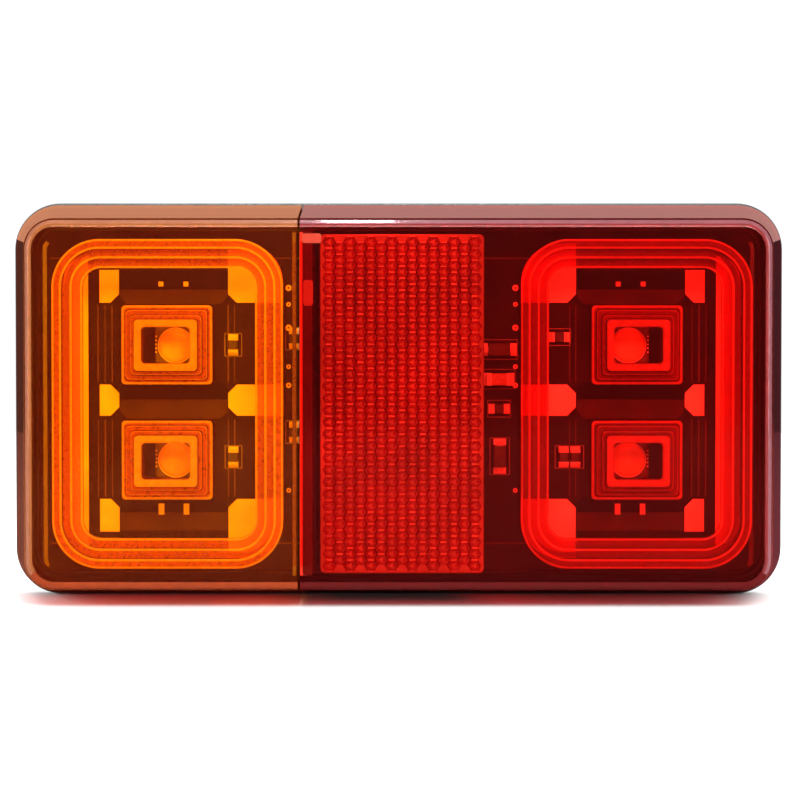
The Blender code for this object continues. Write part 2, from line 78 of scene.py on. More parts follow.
# Stepped optics
RING_RADIUS = 6 * MM
RING_STEPS = 3
RING_TREAD = 1.2 * MM
RING_DROP = 1.3 * MM
RING_SKIRT = 1.2 * MM
RING_LIP = 0.26 * MM
BLOCK_INSETS = (0.5 * MM, 1.15 * MM, 1.65 * MM)
BLOCK_WINDOW = 2.7 * MM
BLOCK_RISE = 0.9 * MM

# Circuit board
SHADE_PATCH_HALF = 7 * MM
COPPER = 0.08 * MM
ZONE_CLIP = 1.1 * MM
RING_CLIP = 5 * MM
STRIP_WIDTH = 3.1 * MM
STRIP_CLIP = 3 * MM
ZONE_START = 12.6 * MM
ZONE_LIMIT = 16.8 * MM
BOARD_RADIUS = 2.5 * MM

# LED package, in millimetres
DOME_RADIUS = 2.14
DOME_RISE = 0.5
FINGERS = 5

# Base
BASE_THICK = 3.5 * MM
BASE_RADIUS = 6 * MM
BASE_FILLET = 0.5 * MM
TRAY_SIZE = (93.4 * MM, 44.8 * MM)
TRAY_RADIUS = 3.2 * MM
TRAY_WALL = 1.6 * MM
TRAY_FRONT = -7.5 * MM

# Fasteners
STUD_RADIUS = 2.5 * MM
STUD_TIP = 1.8 * MM
HEAD_BACK = -3.8 * MM
HEX_FLATS = 8 * MM
NUT_BORE = 2.75 * MM

# Threads
THREAD_PITCH = 0.8 * MM
THREAD_DEPTH = 0.45 * MM

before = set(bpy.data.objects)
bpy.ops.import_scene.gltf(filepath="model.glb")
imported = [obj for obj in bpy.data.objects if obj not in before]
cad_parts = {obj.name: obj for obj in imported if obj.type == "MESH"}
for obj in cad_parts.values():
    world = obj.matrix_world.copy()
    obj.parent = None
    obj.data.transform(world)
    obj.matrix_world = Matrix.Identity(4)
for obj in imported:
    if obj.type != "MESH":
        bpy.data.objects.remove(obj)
cad_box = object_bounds()


# ---------------------------------------------------------------- node helpers


def node(tree, kind, props=None, **inputs):
    """Adds a shader node. An input's name has underscores for spaces, and its value may be a socket."""
    made = tree.nodes.new("ShaderNode" + kind)
    for key, value in (props or {}).items():
        setattr(made, key, value)
    for key, value in inputs.items():
        socket = made.inputs[key.replace("_", " ")]
        if isinstance(value, bpy.types.NodeSocket):
            tree.links.new(value, socket)
        else:
            socket.default_value = value
    return made


def start_material(name):
    made = bpy.data.materials.new(name)
    made.use_nodes = True
    tree = made.node_tree
    tree.nodes.clear()
    return made, tree


def finish_material(tree, surface):
    output = node(tree, "OutputMaterial")
    tree.links.new(surface, output.inputs["Surface"])


def position(tree):
    return node(tree, "TexCoord").outputs["Object"]


def noise(tree, scale, detail=4.0, roughness=0.55, vector=None):
    """A noise value. Scale counts features per metre."""
    made = node(tree, "TexNoise", Scale=scale, Detail=detail, Roughness=roughness)
    tree.links.new(vector or position(tree), made.inputs["Vector"])
    return made.outputs["Fac"]


def ramp(tree, value, low, high, start=0.3, end=0.7):
    """A value mapped from one number or colour to another."""
    made = node(tree, "ValToRGB")
    tree.links.new(value, made.inputs["Fac"])
    stops = made.color_ramp.elements
    for stop, place, colour in ((stops[0], start, low), (stops[1], end, high)):
        stop.position = place
        stop.color = (*colour, 1) if isinstance(colour, tuple) else (colour, colour, colour, 1)
    return made.outputs["Color"]


def bump(tree, height, strength, distance):
    return node(tree, "Bump", Strength=strength, Distance=distance, Height=height).outputs["Normal"]


def shade(colour, factor):
    return tuple(min(1.0, c * factor) for c in colour)


# ---------------------------------------------------------------- materials


def solid_material(
    name,
    colour,
    rough,
    grain,
    metallic=0.0,
    vary=0.25,
    depth=0.02 * MM,
    fine=0.35,
    coat=0.0,
    specular=0.5,
):
    """An opaque finish: its colour and roughness vary a little and its surface has a fine grain.
    rough is the range of roughness, and grain the number of grains per metre."""
    made, tree = start_material(name)
    broad = noise(tree, grain * 0.06, 3)
    small = noise(tree, grain, 5, 0.6)
    colours = ramp(tree, broad, shade(colour, 1 - vary), shade(colour, 1 + vary))
    shader = node(
        tree,
        "BsdfPrincipled",
        Base_Color=colours,
        Metallic=metallic,
        Roughness=ramp(tree, small, rough[0], rough[1]),
        Specular_IOR_Level=specular,
        Coat_Weight=coat,
        Coat_Roughness=0.1,
        Normal=bump(tree, small, fine, depth),
    )
    finish_material(tree, shader.outputs["BSDF"])
    return made


def clear_plastic(name, tint, body, share, shine, gloss=0.08, ior=1.2):
    """Tinted clear plastic. Light passes straight through in the tint's colour, a share of the
    surface shows the body colour, and the Fresnel share mirrors in the shine's colour."""
    made, tree = start_material(name)
    broad = noise(tree, 60, 3)
    small = noise(tree, 900, 4)
    passed = node(tree, "BsdfTransparent", Color=ramp(tree, broad, shade(tint, 0.96), tint))
    bumped = bump(tree, small, LENS_RIPPLE, 0.1 * MM)
    seen = node(
        tree,
        "BsdfPrincipled",
        Base_Color=ramp(tree, small, shade(body, 0.85), shade(body, 1.1)),
        Roughness=0.25,
        Normal=bumped,
    )
    mixed = node(tree, "MixShader", Fac=share)
    tree.links.new(passed.outputs[0], mixed.inputs[1])
    tree.links.new(seen.outputs[0], mixed.inputs[2])
    mirror = node(
        tree,
        "BsdfGlossy",
        Color=(*shine, 1),
        Roughness=ramp(tree, small, gloss * 0.6, gloss * 1.4),
        Normal=bumped,
    )
    fresnel = node(tree, "Fresnel", IOR=ior, Normal=bumped)
    both = node(tree, "MixShader", Fac=fresnel.outputs[0])
    tree.links.new(mixed.outputs[0], both.inputs[1])
    tree.links.new(mirror.outputs[0], both.inputs[2])
    finish_material(tree, both.outputs[0])
    return made


def inner_skin(name, tint, body, share):
    """The inside of a clear wall: it tints what passes and mirrors nothing."""
    made, tree = start_material(name)
    broad = noise(tree, 80, 3)
    small = noise(tree, 1500, 4)
    passed = node(tree, "BsdfTransparent", Color=ramp(tree, broad, shade(tint, 0.95), tint))
    seen = node(
        tree,
        "BsdfPrincipled",
        Base_Color=ramp(tree, small, shade(body, 0.8), shade(body, 1.1)),
        Roughness=0.2,
        Normal=bump(tree, small, 0.05, 0.05 * MM),
    )
    mixed = node(tree, "MixShader", Fac=share)
    tree.links.new(passed.outputs[0], mixed.inputs[1])
    tree.links.new(seen.outputs[0], mixed.inputs[2])
    finish_material(tree, mixed.outputs[0])
    return made


def banded_material(name, colour, end_colour, axis, share):
    """A chip part: its ends, a share of its length along one axis, are tinned metal."""
    made, tree = start_material(name)
    parts = node(tree, "SeparateXYZ", Vector=node(tree, "TexCoord").outputs["Generated"])
    away = node(tree, "Math", {"operation": "SUBTRACT"})
    tree.links.new(parts.outputs[axis], away.inputs[0])
    away.inputs[1].default_value = 0.5
    distance = node(tree, "Math", {"operation": "ABSOLUTE"})
    tree.links.new(away.outputs[0], distance.inputs[0])
    ends = node(tree, "Math", {"operation": "GREATER_THAN"})
    tree.links.new(distance.outputs[0], ends.inputs[0])
    ends.inputs[1].default_value = 0.5 - share
    small = noise(tree, 6000, 4)
    colours = node(tree, "Mix", {"data_type": "RGBA"})
    tree.links.new(ends.outputs[0], colours.inputs[0])
    tree.links.new(ramp(tree, small, shade(colour, 0.7), shade(colour, 1.3)), colours.inputs[6])
    tree.links.new(ramp(tree, small, shade(end_colour, 0.8), end_colour), colours.inputs[7])
    shader = node(
        tree,
        "BsdfPrincipled",
        Base_Color=colours.outputs[2],
        Roughness=ramp(tree, small, 0.3, 0.55),
        Normal=bump(tree, small, 0.3, 0.01 * MM),
    )
    finish_material(tree, shader.outputs["BSDF"])
    return made


AMBER_TINT = (1.0, 0.71, 0.05)
RED_TINT = (0.97, 0.35, 0.29)
AMBER_BODY = (1.0, 0.04, 0.002)
RED_BODY = (1.0, 0.01, 0.01)
AMBER_SHINE = (1.0, 0.25, 0.06)
RED_SHINE = (0.75, 0.08, 0.06)
# Darker tints for the walls that look down and aside: painted shade, which also lets less coloured light
# through onto the floor.
AMBER_WALL = (0.6, 0.08, 0.004)
RED_WALL = (0.4, 0.01, 0.008)
AMBER_WALL_BODY = (0.9, 0.12, 0.02)
RED_WALL_BODY = (0.5, 0.02, 0.02)
AMBER_WALL_SHINE = (0.14, 0.04, 0.025)
RED_WALL_SHINE = (0.1, 0.02, 0.025)
RIM_GLOSS = 0.05
RIM_IOR = 1.45

# Skins that mirror: the tint of what passes, the body's colour and share, the mirror's colour.
OUTER_SKINS = {
    "lens_amber_outer": (AMBER_TINT, AMBER_BODY, 0.022, AMBER_SHINE),
    "lens_red_outer": (RED_TINT, RED_BODY, 0.009, RED_SHINE),
    # The top skins' pale body share is a painted sheen on the faces that look up.
    "lens_amber_top": (AMBER_TINT, (1.0, 0.3, 0.1), 0.2, (1.0, 0.38, 0.2)),
    "lens_red_top": (RED_TINT, (0.8, 0.1, 0.08), 0.2, (0.75, 0.36, 0.32)),
    # The rim and lip skins' pale body share is a painted highlight along the rounded front edge.
    "lens_amber_rim": (AMBER_TINT, (1.0, 0.32, 0.15), 0.16, (0.55, 0.35, 0.28), RIM_GLOSS, RIM_IOR),
    "lens_red_rim": (RED_TINT, (0.7, 0.2, 0.24), 0.15, (0.6, 0.45, 0.5), RIM_GLOSS, RIM_IOR),
    "lens_amber_lip": (AMBER_TINT, (0.9, 0.26, 0.06), 0.15, AMBER_SHINE),
    "lens_red_lip": (RED_TINT, (0.6, 0.05, 0.05), 0.15, RED_SHINE),
    # The under and side skins pass the darker wall tint: painted shade.
    "lens_amber_under": (AMBER_WALL, AMBER_WALL_BODY, 0.16, AMBER_WALL_SHINE),
    "lens_red_under": (RED_WALL, RED_WALL_BODY, 0.1, RED_WALL_SHINE),
    "lens_amber_side": (AMBER_WALL, AMBER_WALL_BODY, 0.02, AMBER_WALL_SHINE),
    "lens_red_side": (RED_WALL, RED_WALL_BODY, 0.02, RED_WALL_SHINE),
}

# Skins that mirror nothing: the tint of what passes, the body's colour and share.
INNER_SKINS = {
    "lens_amber_inner": (AMBER_TINT, AMBER_BODY, 0.002),
    "lens_red_inner": (RED_TINT, RED_BODY, 0.002),
    # The edge skins' brighter body share is a painted highlight along the inner fillet and the seam's
    # cut faces.
    "lens_amber_edge": (AMBER_TINT, (1.0, 0.4, 0.08), 0.13),
    "lens_red_edge": (RED_TINT, (1.0, 0.04, 0.03), 0.06),
    "ring_amber_tread": ((0.8, 0.45, 0.1), (1.0, 0.26, 0.01), 0.3),
    "ring_red_tread": ((0.5, 0.22, 0.18), (1.0, 0.08, 0.05), 0.16),
    # The riser skins are brighter copies of the tread skins: painted highlights on the steps' edges.
    "ring_amber_riser": ((1.0, 0.7, 0.3), (1.0, 0.6, 0.2), 0.55),
    "ring_red_riser": ((1.0, 0.6, 0.5), (1.0, 0.35, 0.25), 0.4),
}

# Opaque finishes: the colour, the range of roughness, the grains per metre and the rest.
SOLIDS = {
    "reflector": ((0.13, 0.001, 0.001), (0.25, 0.45), 3000, {"vary": 0.3}),
    # The glint and edge finishes are pale marks on red plastic: painted glints on the cell rims and a
    # painted highlight on the plate's edge.
    "reflector_painted_glint": ((0.6, 0.6, 0.5), (0.1, 0.3), 4000, {}),
    "reflector_edge_highlight": ((0.25, 0.2, 0.16), (0.1, 0.3), 2500, {}),
    "seam_line": ((0.08, 0.03, 0.02), (0.2, 0.4), 2500, {}),
    "divider": ((0.05, 0.006, 0.006), (0.2, 0.4), 2500, {"specular": 0.08}),
    "board": ((0.012, 0.008, 0.007), (0.3, 0.45), 4000, {"vary": 0.4, "specular": 0.08}),
    # The two patch finishes are painted shade: near-black, and a dark grey for the lower half of each
    # patch.
    "dark_shade_patch": ((0.003, 0.003, 0.003), (0.25, 0.4), 5000, {"specular": 0.08}),
    "light_shade_patch": ((0.045, 0.03, 0.03), (0.3, 0.5), 5000, {"specular": 0.08}),
    "trace": ((0.12, 0.08, 0.06), (0.25, 0.4), 5000, {"specular": 0.08}),
    "tin": ((0.95, 0.93, 0.88), (0.25, 0.5), 2500, {"metallic": 0.15, "fine": 0.5}),
    "mark": ((0.22, 0.21, 0.2), (0.5, 0.7), 6000, {}),
    "led_package": ((0.08, 0.075, 0.07), (0.3, 0.5), 5000, {}),
    "led_cup": ((0.85, 0.83, 0.78), (0.3, 0.5), 5000, {}),
    "phosphor": ((0.95, 0.75, 0.35), (0.15, 0.3), 6000, {"coat": 0.5}),
    "black_plastic": ((0.022, 0.022, 0.024), (0.35, 0.6), 1800, {}),
    "rubber": ((0.025, 0.025, 0.026), (0.6, 0.85), 2500, {}),
    "zinc": ((0.62, 0.62, 0.58), (0.25, 0.45), 1800, {"metallic": 1.0, "vary": 0.15}),
    "cover": ((0.12, 0.008, 0.008), (0.4, 0.6), 2500, {}),
}


def make_materials():
    """All finishes, by name."""
    made = {name: clear_plastic(name, *values) for name, values in OUTER_SKINS.items()}
    made.update({name: inner_skin(name, *values) for name, values in INNER_SKINS.items()})
    for name, (colour, rough, grain, rest) in SOLIDS.items():
        made[name] = solid_material(name, colour, rough, grain, **rest)
    return made


# ---------------------------------------------------------------- mesh helpers


def outline(size, radius, steps=CORNER_STEPS, centre=(0, 0)):
    """(x, z) points of a rounded rectangle, anticlockwise."""
    points = []
    for quarter, (side_x, side_z) in enumerate(((1, 1), (-1, 1), (-1, -1), (1, -1))):
        middle_x = centre[0] + side_x * (size[0] / 2 - radius)
        middle_z = centre[1] + side_z * (size[1] / 2 - radius)
        for step in range(steps + 1):
            angle = math.radians(90 * (quarter + step / steps))
            points.append((middle_x + radius * math.cos(angle), middle_z + radius * math.sin(angle)))
    return points


def shrunk(size, inset):
    return (size[0] - 2 * inset, size[1] - 2 * inset)


def bridge(bm, first, second, slot=0):
    """Adds a band of faces between two loops with as many points."""
    for i in range(len(first)):
        j = (i + 1) % len(first)
        bm.faces.new((first[i], first[j], second[j], second[i])).material_index = slot


def add_circle(bm, centre, y, radii):
    """Adds a loop about an axis along Y, with a point for each radius in turn."""
    loop = []
    for step, radius in enumerate(radii):
        angle = 2 * math.pi * step / len(radii)
        x = centre[0] + radius * math.cos(angle)
        loop.append(bm.verts.new((x, y, centre[1] + radius * math.sin(angle))))
    return loop


def add_loft(bm, sections, steps=CORNER_STEPS, centre=(0, 0), ring=False):
    """Adds a skin through rounded rectangles (size, radius, y, slot) to bm. A section's slot is for
    the skin from it to the next, and an end cap takes its own section's slot."""
    loops = []
    for size, radius, y, _ in sections:
        loops.append([bm.verts.new((x, y, z)) for x, z in outline(size, radius, steps, centre)])
    pairs = list(zip(loops, loops[1:], sections))
    if ring:
        pairs.append((loops[-1], loops[0], sections[-1]))
    else:
        bm.faces.new(loops[0]).material_index = sections[0][3]
        bm.faces.new(list(reversed(loops[-1]))).material_index = sections[-1][3]
    for first, second, section in pairs:
        bridge(bm, first, second, section[3])


def add_box(bm, low, high, slot=0):
    """Adds a box between two corners to bm."""
    spans = [b - a for a, b in zip(low, high)]
    middle = [(a + b) / 2 for a, b in zip(low, high)]
    place = Matrix.Translation(middle) @ Matrix.Diagonal((*spans, 1))
    made = bmesh.ops.create_cube(bm, size=1, matrix=place)
    for face in {face for vert in made["verts"] for face in vert.link_faces}:
        face.material_index = slot
    return made["verts"]


def add_plate(bm, points, y_back, y_front, slot=0, bevel=0.0):
    """Adds a flat plate with an (x, z) outline, with its front edge drawn in by a bevel."""
    middle_x = sum(x for x, _ in points) / len(points)
    middle_z = sum(z for _, z in points) / len(points)
    half = max(abs(x - middle_x) for x, _ in points)
    tall = max(abs(z - middle_z) for _, z in points)
    loops = []
    rows = [(y_back, 0.0)]
    if bevel:
        rows.append((y_front + bevel, 0.0))
    rows.append((y_front, bevel))
    for y, inset in rows:
        loop = []
        for x, z in points:
            shift_x = middle_x + (x - middle_x) * (1 - inset / half)
            shift_z = middle_z + (z - middle_z) * (1 - inset / tall)
            loop.append(bm.verts.new((shift_x, y, shift_z)))
        loops.append(loop)
    bm.faces.new(loops[0]).material_index = slot
    bm.faces.new(list(reversed(loops[-1]))).material_index = slot
    for first, second in zip(loops, loops[1:]):
        bridge(bm, first, second, slot)


def add_turned(bm, profile, centre, steps=48, slot=0):
    """Adds a turned shape about an axis along Y. profile lists (radius, y); a radius of 0 closes
    an end, and otherwise the last point joins the first."""
    loops = []
    for radius, y in profile:
        if radius == 0:
            loops.append([bm.verts.new((centre[0], y, centre[1]))])
        else:
            loops.append(add_circle(bm, centre, y, [radius] * steps))
    pairs = list(zip(loops, loops[1:]))
    if profile[0][0] > 0:
        pairs.append((loops[-1], loops[0]))
    for first, second in pairs:
        for i in range(steps):
            j = (i + 1) % steps
            ring = [first[i % len(first)], first[j % len(first)]]
            ring += [second[j % len(second)], second[i % len(second)]]
            face = bm.faces.new(list(dict.fromkeys(ring)))
            face.material_index = slot


def mesh_from(bm, name):
    bmesh.ops.recalc_face_normals(bm, faces=bm.faces)
    mesh = bpy.data.meshes.new(name)
    bm.to_mesh(mesh)
    bm.free()
    return mesh


def add_piece(name, mesh, finishes, replaced=(), sharp=35):
    """A visible piece that rides on the lamp's one body and stands for the named CAD nodes."""
    piece = bpy.data.objects.new(name, mesh)
    bpy.context.scene.collection.objects.link(piece)
    for finish in finishes:
        mesh.materials.append(FINISH[finish])
    mesh.shade_smooth()
    mesh.set_sharp_from_angle(angle=math.radians(sharp))
    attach(piece, "root")
    if replaced:
        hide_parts(*replaced)
    return piece


def apply_cuts(piece, operation, meshes):
    """Applies one exact Boolean for each helper mesh, then removes the helpers."""
    helpers = []
    for number, mesh in enumerate(meshes):
        helper = bpy.data.objects.new(f"helper_{number}", mesh)
        bpy.context.scene.collection.objects.link(helper)
        helpers.append(helper)
        modifier = piece.modifiers.new(helper.name, "BOOLEAN")
        modifier.operation = operation
        modifier.solver = "EXACT"
        modifier.object = helper
    graph = bpy.context.evaluated_depsgraph_get()
    graph.update()
    made = bpy.data.meshes.new_from_object(piece.evaluated_get(graph))
    piece.modifiers.clear()
    piece.data = made
    for helper in helpers:
        bpy.data.objects.remove(helper, do_unlink=True)


def centre_of(node_name):
    low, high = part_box(node_name)
    return [(a + b) / 2 for a, b in zip(low, high)]


# ---------------------------------------------------------------- lens


def edge_slot(step):
    """The slot of one step of the rounded edge, counted from the flat front to the side wall."""
    if step == 0:
        return OUTER
    # The lip and rim steps take pale finishes: a painted highlight along the rounded edge.
    if step < LIP_END:
        return LIP
    if step < RIM_END:
        return RIM
    return OUTER if step < EDGE_STEPS else SIDE


def lens_sections():
    """The lens's sections, from its flat front over the rounded edge and the rim, then inside to
    the inner front."""
    amber_low, amber_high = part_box("lens_amber")
    _, red_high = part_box("lens_red")
    rim = (red_high[0] - amber_low[0], amber_high[2] - amber_low[2])
    edge = (rim[0] - 2 * LENS_DRAFT[0], rim[1] - 2 * LENS_DRAFT[1])
    front, back = amber_low[1], amber_high[1]

    def size_at(y):
        share = (back - y) / (back - front - EDGE_ROUND)
        size = [a + (b - a) * share for a, b in zip(rim, edge)]
        return tuple(size), RIM_RADIUS + (EDGE_RADIUS - RIM_RADIUS) * share

    sections = []
    for step in range(EDGE_STEPS + 1):
        angle = math.radians(90 * step / EDGE_STEPS)
        inset = EDGE_ROUND * (1 - math.sin(angle))
        y = front + EDGE_ROUND * (1 - math.cos(angle))
        sections.append((shrunk(edge, inset), EDGE_RADIUS - inset, y, edge_slot(step)))
    sections.append((rim, RIM_RADIUS, back - BACK_CHAMFER, SIDE))
    sections.append((shrunk(rim, BACK_CHAMFER), RIM_RADIUS - BACK_CHAMFER, back, SIDE))
    size, radius = size_at(back)
    sections.append((shrunk(size, WALL), radius - WALL, back, INNER))
    inner_front = front + WALL
    for step in range(FILLET_STEPS + 1):
        angle = math.radians(90 * step / FILLET_STEPS)
        y = inner_front + INNER_FILLET * (1 - math.sin(angle))
        size, radius = size_at(inner_front + INNER_FILLET)
        inset = WALL + INNER_FILLET * (1 - math.cos(angle))
        # Two steps of the inner fillet take the bright edge finish: a painted highlight.
        slot = EDGE if FILLET_STEPS > step >= BRIGHT_FILLET else INNER
        sections.append((shrunk(size, inset), max(radius - inset, 0.3 * MM), y, slot))
    return sections


def make_lens():
    """The amber and red shells, each one side of the same moulded shape. The finish of a face
    follows where it looks: paler on top, a painted sheen, and darker below and aside, painted shade."""
    sections = lens_sections()
    far = 0.2
    seams = {"amber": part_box("lens_amber")[1][0], "red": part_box("lens_red")[0][0]}
    ends = (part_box("lens_amber")[0][0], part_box("lens_red")[1][0])
    middle, half = (ends[0] + ends[1]) / 2, (ends[1] - ends[0]) / 2
    for label, seam in seams.items():
        bm = bmesh.new()
        add_loft(bm, sections)
        bmesh.ops.recalc_face_normals(bm, faces=bm.faces)
        for face in bm.faces:
            side_gap = half - abs(face.calc_center_median().x - middle)
            upward = face.normal.z / max(math.hypot(face.normal.x, face.normal.z), 0.01)
            slot = face.material_index
            # Near the ends the inner fillet keeps the bright edge finish, a painted highlight. Faces
            # looking down take the darker under finish, painted shade, and side faces looking up the
            # paler top finish, painted sheen.
            if slot == EDGE and side_gap > 6 * MM:
                face.material_index = INNER
            elif (slot in (RIM, LIP) and upward < -0.5) or (slot == SIDE and upward < -0.25):
                face.material_index = UNDER
            elif slot == SIDE and upward > 0.25:
                face.material_index = TOP
        finishes = [f"lens_{label}_{part}" for part in LENS_PARTS]
        shell = add_piece(
            f"lens_{label}_shell",
            mesh_from(bm, f"lens_{label}_shell"),
            finishes,
            (f"lens_{label}",),
            sharp=25,
        )
        side = bmesh.new()
        # The cut faces at the seam take the bright edge finish: a painted highlight.
        if label == "amber":
            add_box(side, (-far, -far, -far), (seam, far, far), EDGE)
        else:
            add_box(side, (seam, -far, -far), (far, far, far), EDGE)
        apply_cuts(shell, "INTERSECT", [mesh_from(side, "side")])


def make_seam():
    """The divider behind the seam, two small tabs and the two fine weld beads along it. The tabs and the
    red bead wear pale finishes: painted highlights.
    """
    low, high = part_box("lens_red")
    inner = low[1] + WALL
    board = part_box("circuit_board")[0][1]
    half = high[2] - LENS_DRAFT[1] - WALL
    bm = bmesh.new()
    divider = [
        ((DIVIDER_WIDTH, 2 * half + 1.2 * MM), 0.3 * MM, board - 0.9 * MM, 0),
        ((DIVIDER_WIDTH, 2 * half), 0.3 * MM, inner + 0.5 * MM, 0),
        ((1.2 * MM, 2 * half - 0.3 * MM), 0.3 * MM, inner + 0.1 * MM, 0),
    ]
    add_loft(bm, divider, 4, centre=(low[0] + 0.9 * MM, 0))
    add_piece("seam_divider", mesh_from(bm, "seam_divider"), ["divider"])
    bm = bmesh.new()
    for size, place in (((2.4, 1.2), (-1.35, 20.7)), ((1.2, 3.2), (-0.9, 13.9))):
        middle = (low[0] + 0.1 * MM - place[0] * MM, place[1] * MM)
        tab_size = (size[0] * MM, size[1] * MM)
        tab = [(tab_size, 0.3 * MM, inner + 0.09 * MM, 0), (tab_size, 0.3 * MM, inner + 0.05 * MM, 0)]
        add_loft(bm, tab, 4, middle)
    add_piece("seam_tabs", mesh_from(bm, "seam_tabs"), ["reflector_edge_highlight"])
    # The red bead wears the bright riser finish: a painted highlight.
    for label, x, finish in (
        ("amber", low[0] - 0.75 * MM, "seam_line"),
        ("red", low[0] + 0.15 * MM, "ring_red_riser"),
    ):
        bm = bmesh.new()
        bead = [
            ((BEAD_WIDTH, 2 * half), 0.1 * MM, inner + 0.5 * MM, 0),
            ((0.4 * MM, 2 * half - 0.2 * MM), 0.1 * MM, inner + 0.12 * MM, 0),
        ]
        add_loft(bm, bead, 3, centre=(x, 0))
        add_piece(f"seam_bead_{label}", mesh_from(bm, f"seam_bead_{label}"), [finish])


# ---------------------------------------------------------------- reflector


def add_prism(bm, x, z, y):
    """One reflector cell: a hollow cube corner inside a hexagonal rim with sloping sides."""
    outer = PRISM_PITCH / math.sqrt(3) - 0.005 * MM
    inner = outer - PRISM_RIM
    rings = []
    for radius, depths in ((outer, (0.32 * MM,) * 2), (inner, (0, PRISM_DEPTH / 2))):
        ring = []
        for corner in range(6):
            angle = math.radians(60 * corner)
            depth = depths[corner % 2]
            point = (x + radius * math.cos(angle), y + depth, z + radius * math.sin(angle))
            ring.append(bm.verts.new(point))
        rings.append(ring)
    apex = bm.verts.new((x, y + PRISM_DEPTH, z))
    for corner in range(6):
        after = (corner + 1) % 6
        side = bm.faces.new((rings[0][corner], rings[0][after], rings[1][after], rings[1][corner]))
        # The top and bottom sides of the rim take the pale glint finish: painted glints.
        side.material_index = 1 if corner in (1, 4) else 0
    for corner in (0, 2, 4):
        bm.faces.new((apex, rings[1][corner], rings[1][corner + 1], rings[1][(corner + 2) % 6]))


def make_reflector():
    """The prism plate: hexagonal cells in staggered columns on a plate whose pale edge is a painted
    highlight.
    """
    low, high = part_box("reflex_reflector")
    centre = ((low[0] + high[0]) / 2, (low[2] + high[2]) / 2)
    size = (high[0] - low[0], high[2] - low[2])
    front = low[1] + 0.1 * MM
    bm = bmesh.new()
    column_pitch = 1.5 * PRISM_PITCH / math.sqrt(3)
    columns = int((size[0] - 0.6 * MM) / column_pitch)
    rows = int(size[1] / PRISM_PITCH)
    for column in range(columns):
        x = centre[0] + (column - (columns - 1) / 2) * column_pitch
        stagger = 0.5 * (column % 2)
        for row in range(rows - column % 2):
            z = centre[1] + (row - (rows - 1) / 2 + stagger) * PRISM_PITCH
            add_prism(bm, x, z, front)
    plate = [
        (size, 0.6 * MM, high[1], 2),
        (size, 0.6 * MM, front + 0.5 * MM, 2),
        (shrunk(size, 0.15 * MM), 0.5 * MM, front + 0.34 * MM, 2),
    ]
    add_loft(bm, plate, 5, centre)
    finishes = ["reflector", "reflector_painted_glint", "reflector_edge_highlight"]
    mesh = mesh_from(bm, "reflector_prisms")
    add_piece("reflector_prisms", mesh, finishes, ("reflex_reflector",), sharp=10)


# ---------------------------------------------------------------- stepped optics


def make_ring(label):
    """The stepped collar round one section: clear treads, a thin skirt, and risers in a brighter finish
    that paints highlights on the steps' edges.
    """
    name = f"optic_ring_{label}"
    low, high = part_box(name)
    centre = ((low[0] + high[0]) / 2, (low[2] + high[2]) / 2)
    size = (high[0] - low[0], high[2] - low[2])

    def section(inset, y, slot):
        return (shrunk(size, inset), max(RING_RADIUS - inset, 0.4 * MM), y, slot)

    front = low[1]
    sections = [section(0, high[1], 2), section(0, front + 0.15 * MM, 1), section(0.15 * MM, front, 1)]
    sections.append(section(RING_LIP, front, 0))
    for step in range(1, RING_STEPS + 1):
        inset = step * RING_TREAD
        y = front + (step - 1) * RING_DROP
        sections.append(section(inset - RING_LIP, y, 1))
        sections.append(section(inset, y + 0.05 * MM, 0))
        if step < RING_STEPS:
            sections.append(section(inset + 0.05 * MM, y + RING_DROP, 0))
    under = front + RING_STEPS * RING_DROP
    sections.append(section(RING_STEPS * RING_TREAD, under, 2))
    sections.append(section(RING_SKIRT, under, 2))
    sections.append(section(RING_SKIRT, high[1], 2))
    bm = bmesh.new()
    add_loft(bm, sections, 20, centre, ring=True)
    finishes = [f"ring_{label}_tread", f"ring_{label}_riser", f"lens_{label}_inner"]
    mesh = mesh_from(bm, f"ring_{label}_stepped")
    add_piece(f"ring_{label}_stepped", mesh, finishes, (name,), sharp=25)


def make_block(label, where):
    """One stepped square optic: nested steps round an open window over the LED. Its front edge, the foot
    of each step and the window's lip wear the brighter riser finish: painted highlights.
    """
    name = f"optic_block_{label}_{where}"
    low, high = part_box(name)
    centre = ((low[0] + high[0]) / 2, (low[2] + high[2]) / 2)
    size = (high[0] - low[0], high[2] - low[2])
    back = high[1]
    top = low[1] + len(BLOCK_INSETS) * BLOCK_RISE

    def section(inset, y, slot, radius=0.5 * MM):
        return (shrunk(size, inset), radius, y, slot)

    sections = [section(0, back, 2), section(0, top + 0.1 * MM, 1), section(0.1 * MM, top, 1)]
    sections.append(section(0.3 * MM, top, 0))
    for step, inset in enumerate(BLOCK_INSETS):
        y = top - step * BLOCK_RISE
        sections.append(section(inset, y, 0))
        sections.append(section(inset + 0.12 * MM, y - BLOCK_RISE + 0.06 * MM, 1))
        sections.append(section(inset + 0.18 * MM, y - BLOCK_RISE, 1 if step == 2 else 0))
    sections.append(section(BLOCK_WINDOW - 0.15 * MM, low[1], 1))
    sections.append(section(BLOCK_WINDOW, low[1] + 0.15 * MM, 0))
    sections.append(section(BLOCK_WINDOW, back - 3.4 * MM, 2))
    sections.append(section(1.9 * MM, back - 2.9 * MM, 2))
    sections.append(section(1.9 * MM, back, 2))
    bm = bmesh.new()
    add_loft(bm, sections, 6, centre, ring=True)
    finishes = [f"ring_{label}_tread", f"ring_{label}_riser", f"lens_{label}_inner"]
    mesh = mesh_from(bm, f"block_{label}_{where}")
    add_piece(f"block_{label}_{where}", mesh, finishes, (name,), sharp=25)


